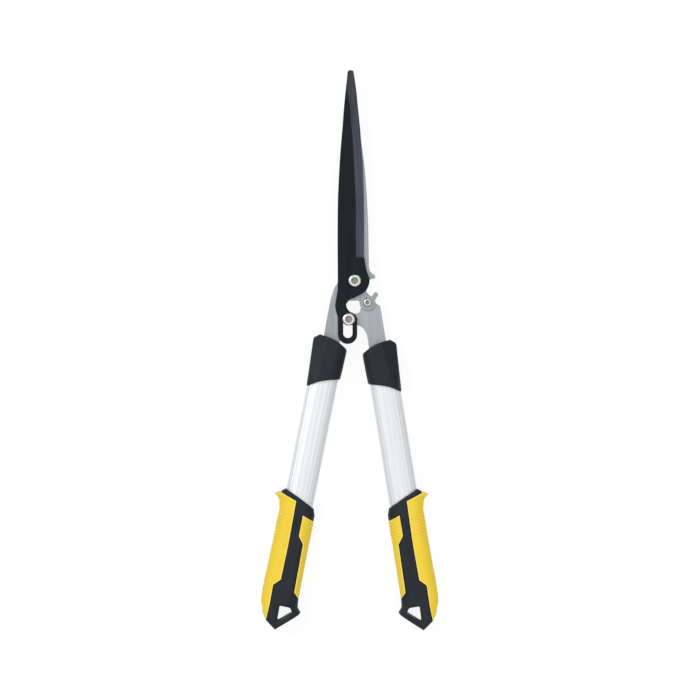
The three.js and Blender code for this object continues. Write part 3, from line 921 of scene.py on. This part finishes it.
def tube(handle):
    """An oval drawn tube with fine flutes along it, shallowest on its two broad faces."""
    around, flutes, groove, shallowest = 240, 22, 0.32, 0.45
    turns = np.arange(around) / around
    depth = groove * (shallowest + (1 - shallowest) * np.cos(2 * np.pi * turns) ** 2)
    depth *= crests(turns * flutes)

    def ring(shrink):
        half_width, half_depth = np.array([TUBE_HALF_WIDTH - shrink]), np.array([TUBE_HALF_DEPTH - shrink])
        return oval_rings(-half_width, half_width, half_depth, np.zeros(1), around)[0]

    inwards = -ring(0) / np.linalg.norm(ring(0), axis=1, keepdims=True)
    soft = 0.3
    outside, inside = ring(0) + inwards * depth[:, None], ring(TUBE_WALL)
    rounded_off = outside + inwards * soft
    start, end = TUBE_START, handle.tube_end
    stations = [
        (rounded_off, start), (outside, start + soft), (outside, end - soft), (rounded_off, end),
        (inside, end), (inside, start),
    ]
    rings = [points + (0, -along, 0) for points, along in stations]
    shape = from_rings("tube", rings, LOCAL, closed=True)
    for along in PIN_ALONG:
        boolean(shape, punch("pin", circle((PIN_ACROSS, -along), PIN_RADIUS + CLEARANCE)))
    made = for_handle(handle, shape, "tube")
    bpy.data.objects.remove(shape)
    install(shade(made, 30, flat_ends=False), handle.body, "anodised_aluminium", aluminium(handle.lean))


def collar_shape():
    rings, normals = skin(COLLAR_SECTIONS, step=0.5, around=192, blur=4)
    for side in (1, -1):
        first, second, third = (np.array([x, y, z * side]) for x, y, z in COLLAR_FACET)
        facing = np.cross(second - first, third - first)
        facing *= math.copysign(1, facing[0]) / np.linalg.norm(facing)
        excess = np.clip((rings - first) @ facing, 0, None)
        rings -= excess[..., None] * facing
    top, bottom = curve(COLLAR_TOP, 32), curve(COLLAR_BOTTOM, 32)
    outline = [*top, (20.1, -5), (25, -9), (25, -64), (17.4, -60), *bottom][::-1]
    edge = inside_distance(rings[..., 0], rings[..., 1], outline)
    chamfer, slope = 1.5, 0.5
    rings -= normals * (np.clip(chamfer - edge, 0, chamfer) * slope)[..., None]
    made = from_rings("collar", rings, LOCAL)
    boolean(made, punch("trim", outline), "INTERSECT")
    return boolean(made, tube_bore(TUBE_START - CLEARANCE, COLLAR_SECTIONS[-1][0] + OVERSHOOT))


def collar(handle, shape):
    made = for_handle(handle, shape, "collar")
    back = handle.tang_back - HANDLE_HEIGHT
    inner, outer = TANG_INNER - MOUTH_SLACK, TANG_OUTER + CLEARANCE
    into_bore = 1.0
    bottom = -TUBE_START - into_bore
    mouth = [(inner, bottom), (outer, bottom), (outer, OVERSHOOT), (inner, OVERSHOOT)]
    if handle.side < 0:
        mouth = [(-x, y) for x, y in reversed(mouth)]
    boolean(made, prism("mouth", mouth, back - CLEARANCE, back + PLATE + CLEARANCE, handle.matrix))
    install(shade(made, 40, flat_ends=False), handle.body, "black_plastic", BLACK_PLASTIC)


def bowed_ribs(x, y):
    """Slanting ribs that fill an oval high on the outer pad."""
    centre_x, centre_y, half_width, half_length = 12.5, -39, 9, 19
    rise, pitch, slope, bow, straight_x = 0.6, 4.4, 0.75, 0.022, 12
    field = ramp(1 - np.hypot((x - centre_x) / half_width, (y - centre_y) / half_length), 0, 0.25)
    slant = y + slope * (x - straight_x) - bow * (x - straight_x) ** 2
    return rise * field * crests(slant / pitch) * (x > 0)


def cross_ribs(x, y):
    """Ribs across the upper part of the inner pad."""
    rise, pitch, slope = 0.5, 3.6, 0.35
    field = ramp(-y, 31, 34) * ramp(y, -53, -49) * ramp(-x, 9, 10.5)
    return rise * field * crests((y - slope * x) / pitch)


def long_ribs(x, y, side_angle):
    """Fine ribs down the outer pad's side."""
    rise, count = 0.25, 44
    field = ramp(-y, 58, 70) * ramp(y, -132, -120) * ramp(x, 12, 14)
    return rise * field * ramp(np.cos(side_angle * count), 0.3, 0.9)


def grip_shape():
    """The whole grip, with its pads, seams, ribs and rounded ends still in one skin."""
    seam_dip, end_rounding, hole_inset = 0.3, 1.8, 0.9
    rings, normals = skin(GRIP_SECTIONS, step=0.7, around=168, blur=2)
    x, y, z = rings[..., 0], rings[..., 1], rings[..., 2]
    pad = np.maximum(inside_distance(x, y, OUTER_PAD), inside_distance(x, y, INNER_PAD))
    lift = PAD_RISE * ramp(pad, 0.1, 1.3) - seam_dip * (1 - ramp(np.abs(pad), 0.1, 0.9))
    centre = (x.max(axis=1, keepdims=True) + x.min(axis=1, keepdims=True)) / 2
    ribs = bowed_ribs(x, y) + cross_ribs(x, y) + long_ribs(x, y, np.arctan2(z, x - centre))
    lift += (ribs - PAD_RISE) * ramp(pad, 0.8, 2.2)
    near_end = end_rounding - np.clip(inside_distance(x, y, GRIP_CUT), 0, end_rounding)
    lift -= end_rounding - np.sqrt(np.clip(end_rounding**2 - near_end**2, 0, None))
    beside_hole = 1 - ramp(-inside_distance(x, y, HANG_HOLE), 1.5, 2.3)
    lift -= hole_inset * beside_hole * (np.abs(z) > 6)
    rings = rings + normals * lift[..., None]
    highest = HANDLE_HEIGHT - FLOOR_GAP
    rings[..., 2] = np.clip(rings[..., 2], -highest, highest)
    return boolean(from_rings("grip", rings, LOCAL), punch("ends", GRIP_CUT), "INTERSECT")


def pad_bed(clearance):
    """The oval form that the pads lie on."""
    half_width, half_depth = PAD_BED_HALF_WIDTH + clearance, PAD_BED_HALF_DEPTH + clearance
    return oval("bed", half_width, half_depth, -OVERSHOOT, PAD_BED_END + clearance)


def seam_floor():
    """The oval form at the bottom of the groove along the pads."""
    end = GRIP_SECTIONS[-1][0] + OVERSHOOT
    return oval("floor", SEAM_FLOOR_HALF_WIDTH, SKIN_FLAT - SEAM_DEPTH, -OVERSHOOT, end)


def mark_highlight_rim(pad, outline):
    """Notes how near each point of a pad is to its rim, for the painted highlight that its material puts
    along the rim.
    """
    points = np.array([vertex.co[:2] for vertex in pad.data.vertices]) / MM
    near = 1 - ramp(inside_distance(points[:, 0], points[:, 1], outline), 0.3 * HIGHLIGHT_RIM, HIGHLIGHT_RIM)
    pad.data.attributes.new("rim", "FLOAT", "POINT").data.foreach_set("value", near)


def grip_shapes():
    """The core and the two pads, cut from one skin."""
    whole = grip_shape()
    pads = {}
    for name, outline in (("grip_outer_pad", OUTER_PAD), ("grip_inner_pad", INNER_PAD)):
        pads[name] = copy_of(whole, name)
        boolean(pads[name], punch("region", outline), "INTERSECT")
        boolean(pads[name], pad_bed(CLEARANCE))
        mark_highlight_rim(pads[name], outline)
        boolean(whole, boolean(punch("recess", grown(outline, TIGHT)), pad_bed(0)))
        boolean(whole, boolean(punch("seam", grown(outline, SEAM)), seam_floor()))
    boolean(whole, punch("hole", rounded(HANG_HOLE, HANG_HOLE_ROUNDING)))
    boolean(whole, tube_bore(-OVERSHOOT, TUBE_INSIDE_GRIP + CLEARANCE))
    return {"grip_core": whole, **pads}


def grip(handle, shapes):
    for name, shape in shapes.items():
        made = for_handle(handle, shape, name)
        made.matrix_world = handle.matrix @ Matrix.Translation((0, -handle.grip_start * MM, 0))
        if name == "grip_core":
            install(shade(made, 40, flat_ends=False), handle.body, "black_plastic", BLACK_PLASTIC)
        else:
            install(shade(made, 50, flat_ends=False), handle.body, "yellow_rubber", YELLOW_RUBBER)


def hidden_pieces(handle):
    """Gives the CAD pieces inside the handle their materials."""
    for node, material in (
        ("tang_insert", BLACK_PLASTIC), ("tang_pin_upper", BLADE_STEEL), ("tang_pin_lower", BLADE_STEEL),
    ):
        carried = frame["nodes"][f"{handle.name}_{node}"]
        carried.data.materials.clear()
        carried.data.materials.append(material)


def handles():
    collar_form, grip_forms = collar_shape(), grip_shapes()
    for handle in (LEFT, RIGHT):
        tube(handle)
        collar(handle, collar_form)
        grip(handle, grip_forms)
        hidden_pieces(handle)
    for shape in (collar_form, *grip_forms.values()):
        bpy.data.objects.remove(shape)


# ---- Floor, light and camera ----


def floor():
    """A white table, lit from inside, so that it stays white under the tool's openings."""
    half = 20.0
    mesh = bpy.data.meshes.new("floor")
    corners = [(-half, -half, 0), (half, -half, 0), (half, half, 0), (-half, half, 0)]
    mesh.from_pydata(corners, [], [(0, 1, 2, 3)])
    material = bpy.data.materials.new("floor")
    material.use_nodes = True
    shader = material.node_tree.nodes["Principled BSDF"]
    shader.inputs["Base Color"].default_value = (0.1, 0.1, 0.1, 1)
    shader.inputs["Roughness"].default_value = 0.9
    shader.inputs["Specular IOR Level"].default_value = 0.1
    shader.inputs["Emission Color"].default_value = (1, 1, 1, 1)
    shader.inputs["Emission Strength"].default_value = 0.9
    mesh.materials.append(material)
    made = add_object("floor", mesh)


def softbox(name, place, power, glossy):
    data = bpy.data.lights.new(name, "AREA")
    data.shape = "SQUARE"
    data.size = 1.2
    data.energy = power
    made = add_object(name, data)
    made.location = place
    made.rotation_euler = (-Vector(place)).to_track_quat("-Z", "Y").to_euler()
    made.visible_glossy = glossy


def studio():
    """Soft light from above, fading towards the horizon, and two softboxes."""
    world = bpy.data.worlds.new("studio")
    world.use_nodes = True
    tree = world.node_tree
    direction = add(tree, "ShaderNodeTexCoord").outputs["Generated"]
    height = add(tree, "ShaderNodeSeparateXYZ", {0: direction}).outputs["Z"]
    background = tree.nodes["Background"]
    background.inputs["Color"].default_value = (0.97, 0.985, 1.0, 1)
    tree.links.new(spread(tree, height, 0.2, 0.95, 0.10, 1.15), background.inputs["Strength"])
    bpy.context.scene.world = world
    softbox("key", (-1.5, 0.9, 1.7), power=26, glossy=True)
    softbox("fill", (1.5, -0.6, 1.9), power=14, glossy=False)
    bpy.context.scene.view_settings.view_transform = "Standard"


def camera():
    """Straight above the tool, with a long lens. The tool's length is the photograph's share of the frame."""
    share, distance, aside = 0.798, 3.0, 0.4 * MM
    data = bpy.data.cameras.new("camera")
    data.lens = data.sensor_width * distance / ((cad_high.y - cad_low.y) / share)
    made = add_object("camera", data)
    middle_x, middle_y = (cad_low.x + cad_high.x) / 2, (cad_low.y + cad_high.y) / 2
    made.location = (middle_x + aside, middle_y, distance + HANDLE_HEIGHT * MM)
    bpy.context.scene.camera = made


camera()
studio()
floor()
front_blade()
rear_blade()
right_tang()
fasteners()
handles()
